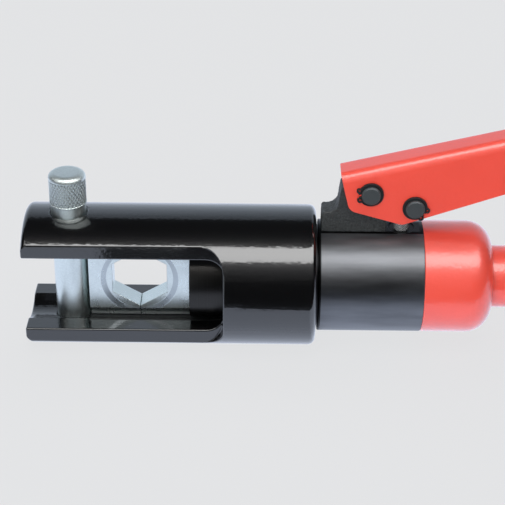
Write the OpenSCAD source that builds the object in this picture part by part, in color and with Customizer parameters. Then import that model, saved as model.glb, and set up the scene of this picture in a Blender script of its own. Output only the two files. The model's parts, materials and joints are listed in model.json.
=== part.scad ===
// Hydraulic hand crimping tool: open head with hexagonal dies, hand pump and two handles.
// X runs along the tool towards the handles and Z is up, on the lever's side.
// The origin is the centre of the closed crimp cavity, and the cable runs along Y.

/* [Crimp dies] */
// Width across the flats of the closed hexagonal cavity
hex_af = 25.2; // [20:0.2:28]
// Die material behind the cavity
die_back = 10.8; // [8:0.2:14]
// Die material above and below the cavity's corners
die_land = 0.9; // [0.5:0.1:1.6]
// Thickness of a die along the cable
die_w = 12.8; // [11:0.2:16]
// Land between the cavity's corners and the bevelled ring
die_ring_gap = 0.95; // [0.5:0.05:2]
// Width of the bevelled ring round the cavity
die_bevel_w = 2.4; // [1:0.1:3]
// Depth of the recess inside the bevelled ring
die_bevel_depth = 0.9; // [0.4:0.1:1.5]
// Thickness of the key that runs in the head's channel
die_key_w = 5; // [4:0.5:8]
// Diameter of the inner die's shank
die_shank_d = 8; // [6:0.5:10]
// Length of the inner die's shank
die_shank_len = 8; // [5:0.5:10]

/* [Ram] */
// Diameter of the ram
ram_d = 40; // [37:0.5:44]
// Length of the ram
ram_len = 61.4; // [56:0.2:72]
// Travel of the ram
ram_stroke = 18; // [14:0.5:21]
// Solid length at the front of the ram
ram_front_wall = 14.6; // [13:0.2:18]
// Bore of the ram that holds the return spring
ram_bore_d = 18; // [16:0.5:22]
// Wall of the guide bush
bush_wall = 1.45; // [1:0.05:2.5]
// Length of the guide bush
bush_len = 18; // [14:0.5:22]
// Width of the piston seal
seal_w = 4; // [3:0.5:5]

/* [Head] */
// Depth of the bored channel in each prong
channel_depth = 3.2; // [2:0.1:4]
// Width of the rail on each side of the channel
rail_w = 9.4; // [8:0.1:11]
// Wall of the head over its thread
head_wall = 9; // [7:0.5:12]
// Length of the thread that holds the pump
thread_len = 18.9; // [15:0.1:24]
// Distance from the locking pin to the front end
head_nose = 20.1; // [15:0.1:24]
// Length of ram that shows in the slot
ram_show = 15.6; // [12:0.2:17]
// Rounding of the head's two end edges
end_round = 3; // [1:0.2:5]
// Corner radius at the closed end of the slot
slot_corner = 8; // [4:0.5:10]
// Corner radius at the end of the milled flats
flat_corner = 10.5; // [7:0.5:12]

/* [Locking pin] */
// Diameter of the locking pin
pin_d = 16; // [12:0.5:18]
// Step from the pin out to its knurled knob
knob_step = 0.45; // [0.3:0.05:2]
// Smooth length of the pin between the head and the knob
pin_collar = 4.3; // [2:0.1:8]
// Length of the knurled band
knurl_len = 13.4; // [8:0.2:20]
// Height of the rounded crown above the knurl
knob_crown = 1.6; // [1:0.1:4]
// Chamfer at the tip of the pin
pin_chamfer = 1.6; // [0.5:0.1:3]
// Distance from the tip of the pin to the underside of the head
pin_inset = 1.4; // [0.5:0.1:3]

/* [Pump body] */
// Wall round the ram's cylinder
cylinder_wall = 3.15; // [2.5:0.05:4.5]
// Shoulder from the spigot out to the pump body
pump_shoulder = 2.3; // [1.5:0.1:4]
// Open groove between the head and the pump body
seam_groove = 1.1; // [0.5:0.1:3]
// Distance from the floor of the ram's cylinder to the plunger's axis
valve_wall = 15.6; // [14:0.2:20]
// Distance from the plunger's axis to the rear of the pump body
pump_tail = 9.9; // [9:0.1:14]
// Length of the machined flat round the plunger
flat_len = 16.7; // [15:0.1:18]
// Depth of the machined flat
flat_cut = 0.4; // [0.3:0.1:3]
// Step from the pump body in to the spigot that carries the cap
tail_step = 3.8; // [3:0.1:5]
// Length of the spigot that carries the cap
tail_len = 11.5; // [9:0.5:16]
// Diameter of the plunger
plunger_d = 7; // [6:0.25:8]
// Wall of the plunger gland
gland_wall = 2.4; // [2:0.1:3]
// Length of the plunger gland in the body
gland_len = 7; // [5:0.5:8]

/* [Lever] */
// Distance from the plunger's axis to the lever's pin, along the tool
eye_offset = 4.9; // [3:0.1:6]
// Height of the fulcrum above the pump body
fulcrum_rise = 20.4; // [19:0.2:24]
// Thickness of the fulcrum lug
lug_t = 10.8; // [8:0.2:12]
// Thickness of the lever's sheet
sheet_t = 2.5; // [2:0.1:3]
// Inner radius of the lever's folds
fold_r = 0.5; // [0.3:0.1:1.5]
// Outer radius of the lever's folds
fold_out_r = 4.3; // [2:0.1:5]
// Diameter of the fulcrum pin and of the plunger's pin
pivot_d = 8.6; // [7:0.1:9]
// Angle of the lever above the tool's axis
lever_slope = 13.6; // [8:0.2:18]
// Angle by which the lever opens from there
lever_up = 24; // [15:1:28]
// Angle by which the lever closes from there
lever_down = 10; // [4:1:12]
// Length of the lever behind the fulcrum
lever_len = 300; // [240:5:360]
// Length of the lever in front of the fulcrum
lever_nose = 11.2; // [10:0.1:13]
// Height of the web's top above the fulcrum
lever_rise = 11.7; // [10:0.1:14]
// Height of the lever's straight tail
tail_h = 20; // [16:0.5:24]
// Length over which the lever tapers to its tail
taper_len = 110; // [70:1:120]
// Length of the lever's grip
lever_grip_len = 126; // [100:2:150]
// Wall of the lever's grip
lever_grip_wall = 3.2; // [2:0.1:5]

/* [Handle] */
// Length of the reservoir cap
cap_len = 32.3; // [27:0.1:38]
// Diameter of the handle tube
handle_d = 28.7; // [26:0.1:32]
// Wall of the handle tube
handle_wall = 2; // [1.5:0.1:2.5]
// Length of handle tube behind the cap
handle_len = 242; // [200:2:300]
// Length of the handle's grip
grip_len = 130; // [100:2:150]
// Wall of the handle's grip
grip_wall = 2.8; // [2:0.1:5]
// Length of the oil bladder
bladder_len = 170; // [120:2:190]
// Wall of the oil bladder
bladder_wall = 1.2; // [0.8:0.1:1.6]

/* [Hidden] */
$fn = 96;
arc_steps = 8;
coil_steps = 8;
coil_sides = 6;

// Clearances, and the overrun of cuts
run_gap = 0.05;
seat_gap = 0.04;
side_gap = 0.3;
cylinder_gap = 0.35;
split_gap = 0.2;
cut = 2;

// Radii along the tool, from the ram outwards
ram_r = ram_d / 2;
bush_r = ram_r + run_gap + bush_wall;
head_bore_r = bush_r + seat_gap;
slot_half = head_bore_r - channel_depth;
cylinder_r = ram_r + cylinder_gap;
spigot_r = cylinder_r + cylinder_wall;
head_r = spigot_r + head_wall;
pump_r = spigot_r + pump_shoulder;
tail_r = pump_r - tail_step;
flat_y = sqrt(head_bore_r ^ 2 - slot_half ^ 2) + rail_w;
flat_edge_z = sqrt(head_r ^ 2 - flat_y ^ 2);

// Dies
hex_r = hex_af / sqrt(3);
die_len = hex_af / 2 + die_back;
die_half_h = hex_r + die_land;
die_ring_r = hex_r + die_ring_gap;
die_key_r = head_bore_r - side_gap;

// Stations along X, from the dies back to the handle
ram_x0 = die_len + seat_gap;
ram_x1 = ram_x0 + ram_len;
slot_x1 = die_len + ram_show;
bush_margin = 0.6;
wiper_w = 2;
bush_x0 = ram_x0 + ram_stroke + bush_margin;
bush_x1 = bush_x0 + bush_len;
spigot_x0 = bush_x1 + wiper_w;
head_x1 = spigot_x0 + thread_len;
pump_x0 = head_x1 + seam_groove;
floor_gap = 1.2;
floor_x = ram_x1 + ram_stroke + floor_gap;
plunger_x = floor_x + valve_wall;
pump_x1 = plunger_x + pump_tail;
tail_x1 = pump_x1 + tail_len;
cap_x1 = pump_x1 + cap_len;

// Locking pin
pin_r = pin_d / 2;
knob_r = pin_r + knob_step;
pin_x = -(die_len + side_gap + pin_r);
head_x0 = pin_x - head_nose;
pin_tip_z = pin_inset - head_r;
knurl_z0 = head_r + pin_collar;
knurl_z1 = knurl_z0 + knurl_len;
knob_round = 1.9;
pin_sink = 1.3;

// Return spring and its rod, inside the ram
rod_r = 3.5;
rod_thread_len = 7;
rod_head_r = ram_bore_d / 2 - 2 * side_gap;
rod_head_w = 3;
rod_gap = 0.8;
rod_x0 = ram_x0 + ram_front_wall + ram_stroke + rod_gap;
retainer_w = 4.8;
retainer_x0 = ram_x1 - retainer_w;
spring_wire_r = 1.1;
spring_r = (rod_r + rod_head_r) / 2;
spring_turns = 5;

// Seals
seal_depth = 2.5;
seal_inset = 1;
ring_w = 2.4;
ring_depth = 1.8;
ring_inset = 3;

// Plunger, gland and valve drillings
plunger_r = plunger_d / 2;
plunger_bore_r = plunger_r + run_gap;
gland_r = plunger_r + gland_wall;
flat_z = pump_r - flat_cut;
gland_sink = 0.3;
gland_z = flat_z - gland_sink;
packing_h = 3;
plunger_foot_z = 1;
drill_r = 1.2;
valve_r = 2.8;
valve_depth = 11;
ball_r = 2;
valve_coil_r = 1.5;
valve_wire_r = 0.35;
valve_turns = 3;
valve_screw_w = 2.4;
discharge_z = -8;
suction_z = -5;
relief_y = -6.3;
relief_r = 2.5;
relief_ball_r = 1.9;
relief_screw_w = 5;
chamber_z = discharge_z - drill_r;

// Oil return valve on the far side of the pump body
release_back = 6;
release_x = floor_x + release_back;
release_in_y = 14.5;
release_out_y = 7.5;
release_seat_y = 12;
release_pocket_r = 3.5;
spindle_r = release_pocket_r - run_gap;
needle_taper = 0.7;
needle_in = 0.5;
knob_gap = 0.5;
release_knob_r = 7.5;
release_knob_h = 5.6;
release_flutes = 14;
release_flute_r = 0.8;
release_socket_share = 0.7;

// Lever
pivot_r = pivot_d / 2;
lever_in_w = lug_t + 2 * side_gap;
lever_w = lever_in_w + 2 * sheet_t;
heel_u = 10.5;
heel_w = -18.6;
heel_r = 4;
toe_w = -6.2;
toe_r = 5;
crank_u = 17.8;
crank_w = -11.1;
crank_r = norm([crank_u, crank_w]);
crank_angle = lever_slope + atan2(crank_w, crank_u);
fulcrum_x = plunger_x + eye_offset - crank_r * cos(crank_angle);
fulcrum_z = pump_r + fulcrum_rise;
tail_w = lever_rise - tail_h;
taper_r = 20;

// Plunger eye, slotted for the arc of its pin
eye_gap = 0.35;
eye_wall = 2.5;
eye_lo = crank_r * min(cos(crank_angle - lever_down), cos(crank_angle + lever_up)) - side_gap;
eye_hi = crank_r + side_gap;
eye_z = fulcrum_z + crank_r * sin(crank_angle);
eye_r = pivot_r + eye_gap;
plunger_drop = crank_r * (sin(crank_angle) - sin(crank_angle - lever_down));
bore_foot_gap = 0.7;
bore_foot_z = plunger_foot_z - plunger_drop - bore_foot_gap;

// Pivot pins and their retaining rings
clip_w = 1.2;
clip_gap = 0.1;
clip_groove = 0.4;
clip_rim = 1.3;
clip_ear_r = 1.25;
clip_ear_hole_r = 0.55;
clip_mouth = 24;
clip_play = 0.04;
pivot_end = 1.6;
pivot_chamfer = 0.5;
clip_y = lever_w / 2 + clip_gap;
pivot_half = clip_y + clip_w + pivot_end;
fulcrum_mouth = 185;
plunger_mouth = 325;

// Fulcrum bracket
lug_r = lever_rise - sheet_t - side_gap;
stop_angle = 90 + lever_slope + lever_up;
stop_len = 9.8;
bracket_front = 21.6;
bracket_rear = 6.2;
step_rise = 9.6;
step_len = 7;
step_corner = 1.5;
step_fillet = 5;
lug_back_angle = -10;

// Reservoir cap, handle and bladder
handle_r = handle_d / 2;
tube_in_r = handle_r - handle_wall;
cap_shoulder_r = pump_r - handle_r;
cap_socket = 14;
cap_clear = 0.3;
cap_space_r = 17;
nipple_r = 10.8;
nipple_in_r = 9.2;
nipple_len = 7;
tube_x0 = cap_x1 - cap_socket;
tube_x1 = cap_x1 + handle_len;
neck_r = nipple_r + seat_gap;
neck_gap = 0.6;
neck_x0 = tail_x1 + neck_gap;
neck_x1 = tail_x1 + nipple_len + neck_gap;
bladder_gap = 0.8;
bladder_r = tube_in_r - bladder_gap;
bladder_x1 = neck_x0 + bladder_len;
neck_taper = 2;
clamp_wall = 1.8;
clamp_w = 3;
clamp_inset = 0.6;
plug_len = 12;
plug_lip = 4;
vent_r = 3;
vent_head_r = 5;
vent_head_h = 2.6;
vent_len = 9;
grip_x1 = tube_x1 - side_gap;
grip_x0 = grip_x1 - grip_len;
grip_r = handle_r + grip_wall;
grip_round = 2.4;
grip_flange = 3;
grip_flange_w = 7;
groove_count = 10;
groove_w = 2.4;
groove_depth = 1.1;
groove_inset = 16;
lever_grip_cap = 3;
lever_grip_round = 7;
lever_grip_end_r = 9;

// Set screw that locks the head
set_r = 2.5;
set_rear = 9;
set_inset = 1.5;
set_socket_r = 1.4;
set_socket_depth = 3;

BLACK = [0.05, 0.05, 0.06];
CAST = [0.12, 0.12, 0.12];
BLUED = [0.2, 0.21, 0.22];
ZINC = [0.75, 0.78, 0.8];
STEEL = [0.6, 0.62, 0.64];
RED = [0.88, 0.14, 0.1];
BRONZE = [0.7, 0.5, 0.25];
RUBBER = [0.1, 0.1, 0.1];

// Points of an arc round c
function arc(c, r, a0, a1) =
    [for (i = [0:arc_steps])
        let (a = a0 + (a1 - a0) * i / arc_steps)
        c + r * [cos(a), sin(a)]];

function unit(v) = v / norm(v);

// Points that round the corner at q, between p and s
function corner(p, q, s, r) =
    let (
        a = unit(p - q),
        b = unit(s - q),
        half = acos(a * b) / 2,
        c = q + unit(a + b) * r / sin(half),
        start = q + a * r / tan(half) - c,
        end = q + b * r / tan(half) - c,
        a0 = atan2(start.y, start.x),
        sweep = (atan2(end.y, end.x) - a0 + 540) % 360 - 180
    )
    arc(c, r, a0, a0 + sweep);

// An outline from points [x, y, radius], with its corners rounded
function rounded(pts) =
    let (n = len(pts), xy = [for (p = pts) [p.x, p.y]])
    [for (i = [0:n - 1])
        each pts[i][2] == 0 ? [xy[i]] : corner(xy[(i + n - 1) % n], xy[i], xy[(i + 1) % n], pts[i][2])];

module along_x(x0, x1, r) {
    translate([x0, 0, 0]) rotate([0, 90, 0]) cylinder(h = x1 - x0, r = r);
}

module along_y(y0, y1, r) {
    translate([0, y1, 0]) rotate([90, 0, 0]) cylinder(h = y1 - y0, r = r);
}

module along_z(z0, z1, r) {
    translate([0, 0, z0]) cylinder(h = z1 - z0, r = r);
}

module ring_x(x0, x1, r_in, r_out) {
    difference() {
        along_x(x0, x1, r_out);
        along_x(x0 - cut, x1 + cut, r_in);
    }
}

// A profile of [radius, x] points turned about the tool's axis
module turned_x(pts) {
    rotate([0, 90, 0]) rotate_extrude() polygon(pts);
}

// A profile of [x, z] points, from y0 to y1
module plate_y(pts, y0, y1) {
    translate([0, y1, 0]) rotate([90, 0, 0]) linear_extrude(y1 - y0) polygon(pts);
}

// A section of [y, z] points, from x0 to x1
module bar_x(pts, x0, x1) {
    translate([x0, 0, 0]) rotate([90, 0, 90]) linear_extrude(x1 - x0) polygon(pts);
}

// The lever's frame, with its origin on the fulcrum
module on_lever() {
    translate([fulcrum_x, 0, fulcrum_z]) rotate([0, -lever_slope, 0]) children();
}

// A coil spring along X, as one tube swept round a helix
module coil_x(x0, x1, r, wire_r, turns) {
    rings = coil_steps * turns;
    rise = (x1 - x0 - 2 * wire_r) / rings;
    points = [for (i = [0:rings]) for (k = [0:coil_sides - 1])
        let (turn = 360 * i / coil_steps, side = 360 * k / coil_sides, d = r + wire_r * cos(side))
        [x0 + wire_r + rise * i + wire_r * sin(side), d * cos(turn), d * sin(turn)]];
    skin = [for (i = [0:rings - 1]) for (k = [0:coil_sides - 1])
        let (a = coil_sides * i + k, b = coil_sides * i + (k + 1) % coil_sides)
        each [[a, b, b + coil_sides], [a, b + coil_sides, a + coil_sides]]];
    last = coil_sides * rings;
    caps = [for (k = [1:coil_sides - 2]) each [[0, k + 1, k], [last, last + k, last + k + 1]]];
    polyhedron(points, concat(skin, caps));
}

// Head

// Outline of a cut that runs in from the open front and ends in rounded corners
function front_cut(half, r) =
    rounded([[head_x0 - cut, -half, 0], [slot_x1, -half, r], [slot_x1, half, r], [head_x0 - cut, half, 0]]);

module crimp_head() {
    color(BLACK) difference() {
        turned_x(rounded([
            [0, head_x0, 0], [head_r, head_x0, end_round], [head_r, head_x1, end_round], [0, head_x1, 0]
        ]));
        along_x(head_x0 - cut, spigot_x0 + cut, head_bore_r);
        along_x(spigot_x0, head_x1 + cut, spigot_r + seat_gap);
        plate_y(front_cut(slot_half, slot_corner), -head_r - cut, head_r + cut);
        for (side = [-1, 1])
            plate_y(front_cut(flat_edge_z + run_gap, flat_corner),
                min(side * flat_y, side * (head_r + cut)), max(side * flat_y, side * (head_r + cut)));
        translate([pin_x, 0, 0]) {
            along_z(-head_r - cut, head_r + cut, pin_r + run_gap);
            translate([0, 0, head_r - pin_sink])
                cylinder(h = 2 * pin_sink, r1 = pin_r + run_gap, r2 = pin_r + run_gap + 2 * pin_sink);
        }
        translate([head_x1 - set_rear, 0, 0]) along_y(spigot_r - cut, head_r + cut, set_r + seat_gap);
    }
}

module guide_bush() {
    color(BRONZE) ring_x(bush_x0, bush_x1, ram_r + run_gap, bush_r);
}

module ram_wiper() {
    color(RUBBER) ring_x(bush_x1, spigot_x0, ram_r + run_gap, bush_r);
}

// Half die with its split face at the origin and its back towards +X. Sloped shoulders lead to its keys.
module half_die() {
    half = die_w / 2;
    key_half = die_key_w / 2;
    shoulder = die_half_h + half - key_half;
    upper = [
        [half, die_half_h], [key_half, shoulder], [key_half, head_bore_r],
        [-key_half, head_bore_r], [-key_half, shoulder], [-half, die_half_h]
    ];
    difference() {
        intersection() {
            bar_x(concat(upper, [for (p = upper) -p]), split_gap / 2, die_len);
            along_x(0, die_len + cut, die_key_r);
        }
        translate([0, die_w, 0]) rotate([90, 30, 0]) cylinder(h = 2 * die_w, r = hex_r, $fn = 6);
        for (side = [0, 180])
            rotate([side, 0, 0]) translate([0, die_bevel_depth - die_w / 2, 0]) rotate([90, 0, 0])
                cylinder(h = die_bevel_depth, r1 = die_ring_r, r2 = die_ring_r + die_bevel_w);
    }
}

module outer_die() {
    color(ZINC) mirror([1, 0, 0]) half_die();
}

module inner_die() {
    color(ZINC) {
        half_die();
        along_x(die_len, die_len + die_shank_len, die_shank_d / 2);
    }
}

module head_set_screw() {
    tip_y = spigot_r + seat_gap;
    top_y = head_r - set_inset;
    color(CAST) translate([head_x1 - set_rear, 0, 0]) difference() {
        along_y(tip_y, top_y, set_r);
        translate([0, top_y, 0]) rotate([90, 0, 0])
            cylinder(h = 2 * set_socket_depth, r = set_socket_r, center = true, $fn = 6);
    }
}

module locking_pin() {
    top_z = knurl_z1 + knob_crown;
    color(ZINC) translate([pin_x, 0, 0]) rotate_extrude() polygon(rounded([
        [0, pin_tip_z, 0], [pin_r - pin_chamfer, pin_tip_z, 0], [pin_r, pin_tip_z + pin_chamfer, 0],
        [pin_r, knurl_z0, 0], [knob_r, knurl_z0, 0], [knob_r, top_z, knob_round], [0, top_z, 0]
    ]));
}

// Ram and its return spring

module ram() {
    color(BLACK) difference() {
        along_x(ram_x0, ram_x1, ram_r);
        along_x(ram_x0 - cut, ram_x0 + die_shank_len + side_gap, die_shank_d / 2 + seat_gap);
        along_x(ram_x0 + ram_front_wall, ram_x1 + cut, ram_bore_d / 2);
        ring_x(ram_x1 - seal_inset - seal_w, ram_x1 - seal_inset, ram_r - seal_depth, ram_r + cut);
    }
}

module ram_seal() {
    color(RUBBER) ring_x(ram_x1 - seal_inset - seal_w + seat_gap, ram_x1 - seal_inset - seat_gap,
        ram_r - seal_depth + seat_gap, cylinder_r - run_gap);
}

module spring_retainer() {
    color(STEEL) ring_x(retainer_x0, ram_x1, rod_r + side_gap, ram_bore_d / 2 - seat_gap);
}

module return_rod() {
    color(STEEL) {
        along_x(rod_x0, rod_x0 + rod_head_w, rod_head_r);
        along_x(rod_x0 + rod_head_w, floor_x + rod_thread_len, rod_r);
    }
}

module return_spring() {
    x0 = rod_x0 + rod_head_w + seat_gap;
    color(STEEL) coil_x(x0, retainer_x0 - side_gap, spring_r, spring_wire_r, spring_turns);
}

// Pump body

module pump_cylinder() {
    color(BLUED) difference() {
        union() {
            along_x(spigot_x0 + seat_gap, pump_x0, spigot_r);
            along_x(pump_x0, pump_x1, pump_r);
            along_x(pump_x1, tail_x1, tail_r);
            along_x(tail_x1, tail_x1 + nipple_len, nipple_r);
        }
        along_x(spigot_x0 - cut, floor_x, cylinder_r);
        along_x(floor_x - cut, floor_x + rod_thread_len + seat_gap, rod_r + seat_gap);
        along_x(tail_x1, tail_x1 + nipple_len + cut, nipple_in_r);
        ring_x(pump_x1 + ring_inset, pump_x1 + ring_inset + ring_w, tail_r - ring_depth, tail_r + cut);
        plunger_drillings();
        valve_drillings();
        release_drillings();
    }
}

module plunger_drillings() {
    translate([plunger_x, 0, 0]) {
        translate([-flat_len / 2, -pump_r, flat_z]) cube([flat_len, 2 * pump_r, pump_r]);
        along_z(gland_z - gland_len - packing_h, pump_r, gland_r + seat_gap);
        along_z(bore_foot_z, pump_r, plunger_bore_r);
        along_z(chamber_z, bore_foot_z + drill_r, drill_r);
    }
}

module valve_drillings() {
    translate([0, 0, discharge_z]) {
        along_x(floor_x - cut, floor_x + valve_depth, valve_r);
        along_x(floor_x, plunger_x, drill_r);
    }
    translate([0, 0, suction_z]) {
        along_x(plunger_x, tail_x1 + cut, drill_r);
        along_x(plunger_x + valve_depth, tail_x1 + cut, valve_r);
    }
    translate([0, relief_y, 0]) {
        along_x(floor_x - cut, tail_x1, drill_r);
        along_x(floor_x + valve_depth, tail_x1 + cut, relief_r);
    }
}

module release_drillings() {
    translate([0, release_in_y, 0]) along_x(floor_x - cut, release_x, drill_r);
    translate([0, release_out_y, 0]) along_x(release_x, tail_x1 + cut, drill_r);
    translate([release_x, 0, 0]) {
        along_y(release_out_y, release_seat_y, drill_r);
        along_y(release_seat_y, pump_r + cut, release_pocket_r);
    }
}

// Distance from a ball's centre to the round edge, of a radius, that it rests against
function seat_depth(ball, edge) = sqrt(ball ^ 2 - edge ^ 2) + seat_gap;

discharge_ball_x = floor_x + valve_depth - seat_depth(ball_r, drill_r);
suction_seat_x = tail_x1 - valve_screw_w;
suction_ball_x = suction_seat_x - seat_depth(ball_r, drill_r);
relief_ball_x = floor_x + valve_depth + seat_depth(relief_ball_r, drill_r);
relief_screw_x = tail_x1 - relief_screw_w;
valve_coil_in_r = valve_coil_r - valve_wire_r;
coil_seat = seat_depth(ball_r, valve_coil_in_r);
relief_coil_seat = seat_depth(relief_ball_r, valve_coil_in_r);

module ball_at(x, r) {
    translate([x, 0, 0]) sphere(r = r);
}

module discharge_ball() {
    color(STEEL) translate([0, 0, discharge_z]) ball_at(discharge_ball_x, ball_r);
}

module discharge_spring() {
    x0 = floor_x + valve_screw_w;
    color(STEEL) translate([0, 0, discharge_z])
        coil_x(x0, discharge_ball_x - coil_seat, valve_coil_r, valve_wire_r, valve_turns);
}

module discharge_screw() {
    color(STEEL) translate([0, 0, discharge_z])
        ring_x(floor_x, floor_x + valve_screw_w - seat_gap, drill_r, valve_r - seat_gap);
}

module suction_ball() {
    color(STEEL) translate([0, 0, suction_z]) ball_at(suction_ball_x, ball_r);
}

module suction_spring() {
    x0 = plunger_x + valve_depth + seat_gap;
    color(STEEL) translate([0, 0, suction_z])
        coil_x(x0, suction_ball_x - coil_seat, valve_coil_r, valve_wire_r, valve_turns);
}

module suction_screw() {
    color(STEEL) translate([0, 0, suction_z]) ring_x(suction_seat_x, tail_x1, drill_r, valve_r - seat_gap);
}

module relief_ball() {
    color(STEEL) translate([0, relief_y, 0]) ball_at(relief_ball_x, relief_ball_r);
}

module relief_spring() {
    x0 = relief_ball_x + relief_coil_seat;
    color(STEEL) translate([0, relief_y, 0])
        coil_x(x0, relief_screw_x - seat_gap, valve_coil_r, valve_wire_r, 2 * valve_turns);
}

module relief_screw() {
    color(BRONZE) translate([0, relief_y, 0]) ring_x(relief_screw_x, tail_x1, drill_r, relief_r - seat_gap);
}

module release_spindle() {
    tip_r = drill_r - run_gap - needle_in * needle_taper;
    tip_y = release_seat_y - needle_in;
    needle_len = (spindle_r - tip_r) / needle_taper;
    color(STEEL) translate([release_x, 0, 0]) {
        translate([0, tip_y + needle_len, 0]) rotate([90, 0, 0])
            cylinder(h = needle_len, r1 = spindle_r, r2 = tip_r);
        along_y(tip_y + needle_len, pump_r + knob_gap + release_knob_h * release_socket_share, spindle_r);
    }
}

module release_knob() {
    y0 = pump_r + knob_gap;
    color(BLACK) translate([release_x, 0, 0]) difference() {
        along_y(y0, y0 + release_knob_h, release_knob_r);
        along_y(y0 - cut, y0 + release_knob_h * release_socket_share + seat_gap, spindle_r + seat_gap);
        for (i = [0:release_flutes - 1])
            rotate([0, 360 * i / release_flutes, 0]) translate([release_knob_r, 0, 0])
                along_y(y0 - cut, y0 + release_knob_h + cut, release_flute_r);
    }
}

module plunger_gland() {
    color(BLUED) translate([plunger_x, 0, 0]) difference() {
        along_z(gland_z - gland_len, gland_z, gland_r);
        along_z(gland_z - gland_len - cut, gland_z + cut, plunger_bore_r);
    }
}

module plunger_seal() {
    z0 = gland_z - gland_len - packing_h;
    color(RUBBER) translate([plunger_x, 0, 0]) difference() {
        along_z(z0, z0 + packing_h - seat_gap, gland_r);
        along_z(z0 - cut, z0 + packing_h + cut, plunger_bore_r);
    }
}

// Plunger with a crosshead that is slotted for the lever's pin
module plunger() {
    eye_out_r = eye_r + eye_wall;
    color(STEEL) {
        difference() {
            union() {
                translate([plunger_x, 0, 0]) along_z(plunger_foot_z, eye_z, plunger_r);
                eye_shape(eye_out_r, lug_t / 2);
            }
            eye_shape(eye_r, lug_t);
        }
    }
}

module eye_shape(r, half_w) {
    translate([fulcrum_x, 0, eye_z]) {
        for (x = [eye_lo, eye_hi]) translate([x, 0, 0]) along_y(-half_w, half_w, r);
        translate([eye_lo, -half_w, -r]) cube([eye_hi - eye_lo, 2 * half_w, 2 * r]);
    }
}

// Fulcrum, lever and its pins

module fulcrum_bracket() {
    stop_out = [cos(stop_angle), sin(stop_angle)];
    stop_along = [-sin(stop_angle), cos(stop_angle)];
    shoulder = lug_r * stop_out + stop_len * stop_along;
    foot_z = -fulcrum_z;
    step_z = step_rise - fulcrum_rise;
    outline = concat(
        rounded([
            [bracket_rear, foot_z, 0], [-bracket_front, foot_z, 0], [-bracket_front, step_z, step_corner],
            [step_len - bracket_front, step_z, step_fillet], [shoulder.x, shoulder.y, step_corner],
            [lug_r * stop_out.x, lug_r * stop_out.y, 0]
        ]),
        arc([0, 0], lug_r, stop_angle, lug_back_angle)
    );
    color(CAST) difference() {
        translate([fulcrum_x, 0, fulcrum_z]) plate_y(outline, -lug_t / 2, lug_t / 2);
        along_x(fulcrum_x - 2 * bracket_front, fulcrum_x + 2 * bracket_front, pump_r);
        translate([fulcrum_x, 0, fulcrum_z]) along_y(-lug_t, lug_t, pivot_r + seat_gap);
    }
}

// A pivot pin along Y, with a groove for a retaining ring near each end
module pivot_pin() {
    groove_r = pivot_r - clip_groove;
    half = [
        [pivot_r, clip_y], [groove_r, clip_y], [groove_r, clip_y + clip_w], [pivot_r, clip_y + clip_w],
        [pivot_r, pivot_half - pivot_chamfer], [pivot_r - pivot_chamfer, pivot_half], [0, pivot_half]
    ];
    far = [for (i = [len(half) - 1:-1:0]) [half[i].x, -half[i].y]];
    rotate([90, 0, 0]) rotate_extrude() polygon(concat(far, half));
}

// Outline of an outside retaining ring, open towards +X, with its two drilled ears
module circlip_outline() {
    out_r = pivot_r + clip_rim;
    difference() {
        union() {
            circle(r = out_r);
            clip_ears(out_r, clip_ear_r);
        }
        circle(r = pivot_r - clip_groove + clip_play);
        translate([0, -clip_ear_r / 2]) square([2 * out_r, clip_ear_r]);
        clip_ears(out_r, clip_ear_hole_r);
    }
}

module clip_ears(at_r, r) {
    for (side = [-1, 1]) rotate(side * clip_mouth) translate([at_r, 0]) circle(r = r);
}

// A pair of retaining rings on one pin, open at the angle given
module circlips(mouth) {
    for (y1 = [clip_y + clip_w - clip_play, -clip_y - clip_play])
        translate([0, y1, 0]) rotate([90, 0, 0]) rotate(mouth)
            linear_extrude(clip_w - 2 * clip_play) circlip_outline();
}

module fulcrum_pin() {
    color(CAST) translate([fulcrum_x, 0, fulcrum_z]) pivot_pin();
}

module fulcrum_circlips() {
    color(CAST) translate([fulcrum_x, 0, fulcrum_z]) circlips(fulcrum_mouth);
}

module plunger_pin() {
    color(CAST) on_lever() translate([crank_u, 0, crank_w]) pivot_pin();
}

module plunger_circlips() {
    color(CAST) on_lever() translate([crank_u, 0, crank_w]) circlips(plunger_mouth - lever_slope);
}

module lever_channel() {
    half = lever_w / 2;
    half_in = lever_in_w / 2;
    low = heel_w - cut;
    section = rounded([
        [-half, low, 0], [-half_in, low, 0], [-half_in, lever_rise - sheet_t, fold_r],
        [half_in, lever_rise - sheet_t, fold_r], [half_in, low, 0], [half, low, 0],
        [half, lever_rise, fold_out_r], [-half, lever_rise, fold_out_r]
    ]);
    outline = rounded([
        [-lever_nose, lever_rise + cut, 0], [-lever_nose, toe_w, toe_r], [heel_u, heel_w, heel_r],
        [taper_len, tail_w, taper_r], [lever_len, tail_w, 0], [lever_len, lever_rise + cut, 0]
    ]);
    color(RED) on_lever() difference() {
        intersection() {
            bar_x(section, -lever_nose - cut, lever_len + cut);
            plate_y(outline, -lever_w, lever_w);
        }
        along_y(-lever_w, lever_w, pivot_r + run_gap);
        translate([crank_u, 0, crank_w]) along_y(-lever_w, lever_w, pivot_r + seat_gap);
    }
}

// Section of the lever's grip, drawn in by an amount all round
function lever_grip_section(inset) =
    let (half = lever_w / 2 + lever_grip_wall - inset, low = tail_w - lever_grip_wall + inset,
        high = lever_rise + lever_grip_wall - inset, r = lever_grip_round - inset)
    rounded([[-half, low, r], [half, low, r], [half, high, r], [-half, high, r]]);

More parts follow.
